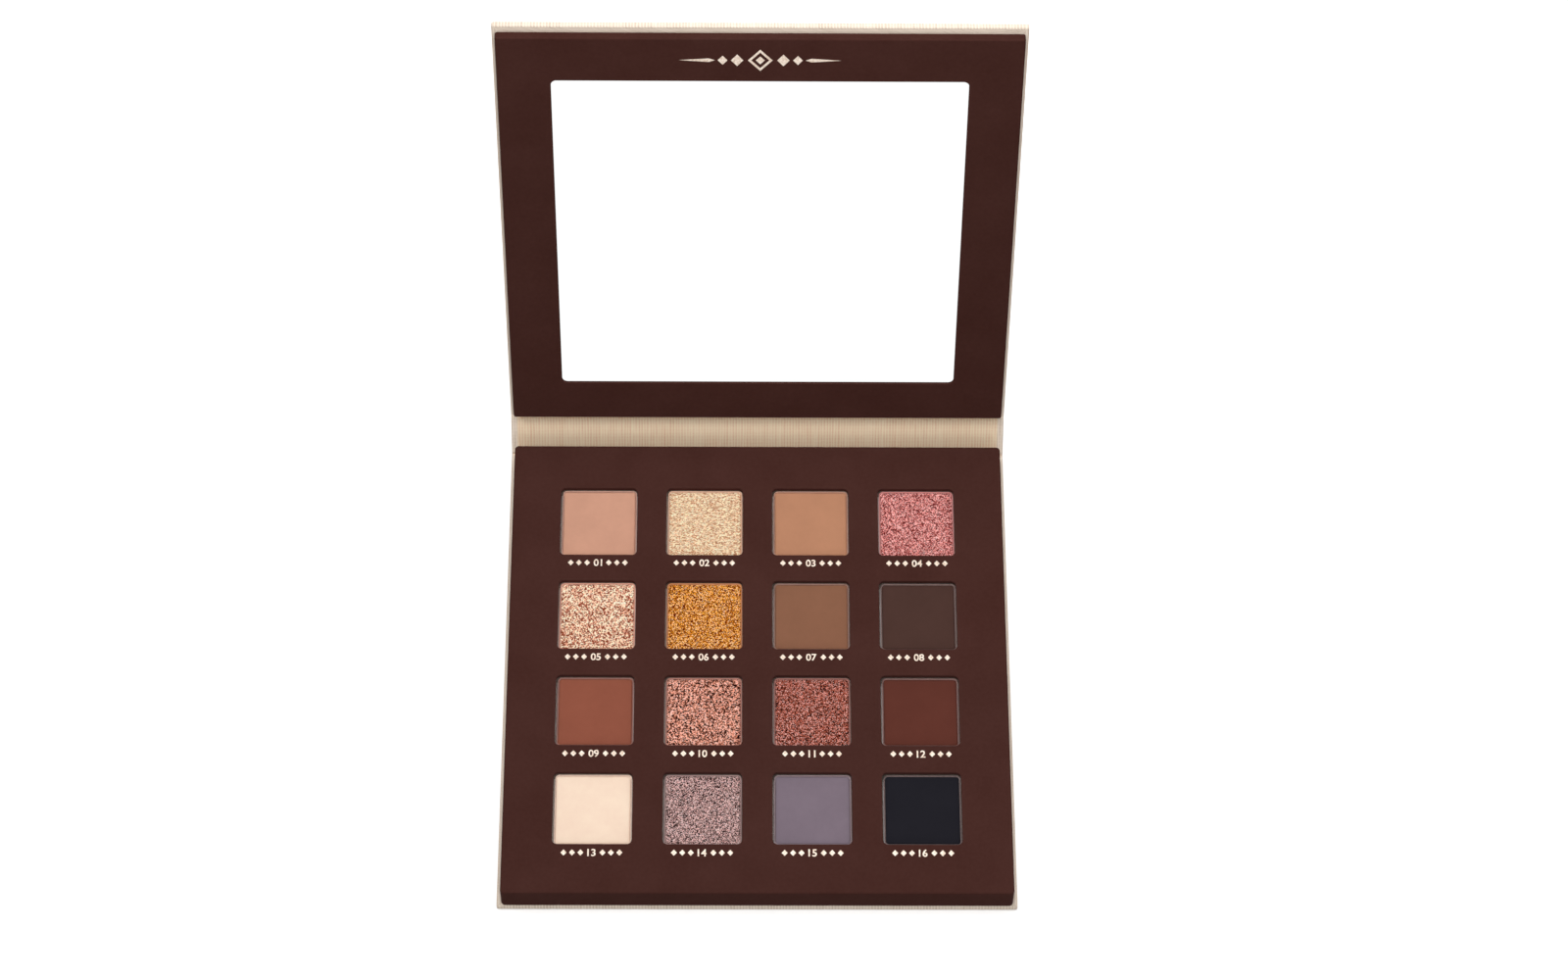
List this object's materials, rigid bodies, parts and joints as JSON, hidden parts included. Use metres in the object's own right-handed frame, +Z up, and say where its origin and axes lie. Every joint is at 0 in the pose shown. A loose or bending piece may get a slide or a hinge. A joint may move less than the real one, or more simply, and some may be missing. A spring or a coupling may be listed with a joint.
{
  "type": "eyeshadow palette",
  "caption": "Book-style card eyeshadow palette: a tray of square powder pans under a mirrored lid, joined by a paper-hinged spine, shown open.",
  "frame": {"origin": "centre of the base panel's underside, which rests on the table", "axes": "+X to the right of the user, +Y from the front edge to the spine, +Z up; the palette is stored open"},
  "size_m": [0.1296, 0.1723, 0.1368],
  "materials": {
    "linen_paper": "matte",
    "grey_board": "matte",
    "brown_card": "satin",
    "foam": "matte",
    "tinplate": "satin",
    "magnet_metal": "satin",
    "mirror_glass": "polished",
    "tape": "matte",
    "powder_01": "matte",
    "powder_02": "satin",
    "powder_03": "matte",
    "powder_04": "satin",
    "powder_05": "satin",
    "powder_06": "satin",
    "powder_07": "matte",
    "powder_08": "matte",
    "powder_09": "matte",
    "powder_10": "satin",
    "powder_11": "satin",
    "powder_12": "matte",
    "powder_13": "matte",
    "powder_14": "satin",
    "powder_15": "matte",
    "powder_16": "matte"
  },
  "bodies": {
    "base": {"base_wrap": "linen_paper", "base_board": "grey_board", "base_fold": "linen_paper", "tray_shell": "brown_card", "insert_grid": "grey_board", "pan_bed": "foam", "pan_01": "tinplate", "powder_01": "powder_01", "pan_02": "tinplate", "powder_02": "powder_02", "pan_03": "tinplate", "powder_03": "powder_03", "pan_04": "tinplate", "powder_04": "powder_04", "pan_05": "tinplate", "powder_05": "powder_05", "pan_06": "tinplate", "powder_06": "powder_06", "pan_07": "tinplate", "powder_07": "powder_07", "pan_08": "tinplate", "powder_08": "powder_08", "pan_09": "tinplate", "powder_09": "powder_09", "pan_10": "tinplate", "powder_10": "powder_10", "pan_11": "tinplate", "powder_11": "powder_11", "pan_12": "tinplate", "powder_12": "powder_12", "pan_13": "tinplate", "powder_13": "powder_13", "pan_14": "tinplate", "powder_14": "powder_14", "pan_15": "tinplate", "powder_15": "powder_15", "pan_16": "tinplate", "powder_16": "powder_16", "tray_magnet_left": "magnet_metal", "tray_magnet_right": "magnet_metal"},
    "spine": {"spine_wrap": "linen_paper", "spine_board": "grey_board", "spine_liner": "linen_paper", "lid_fold": "linen_paper"},
    "lid": {"lid_wrap": "linen_paper", "lid_board": "grey_board", "lid_frame": "brown_card", "mirror": "mirror_glass", "mirror_adhesive": "tape", "closure_disc_left": "magnet_metal", "closure_disc_right": "magnet_metal"}
  },
  "joints": [
    {"name": "spine_fold", "type": "hinge", "parent": "base", "child": "spine", "pos_m": [0, 0.0657, 0.0009], "axis": [1, 0, 0], "range_deg": [-55.3, 34.7]},
    {"name": "lid_fold", "type": "hinge", "parent": "spine", "child": "lid", "pos_m": [0, 0.07242, 0.0106], "axis": [1, 0, 0], "range_deg": [-19.5, 70.5]}
  ]
}
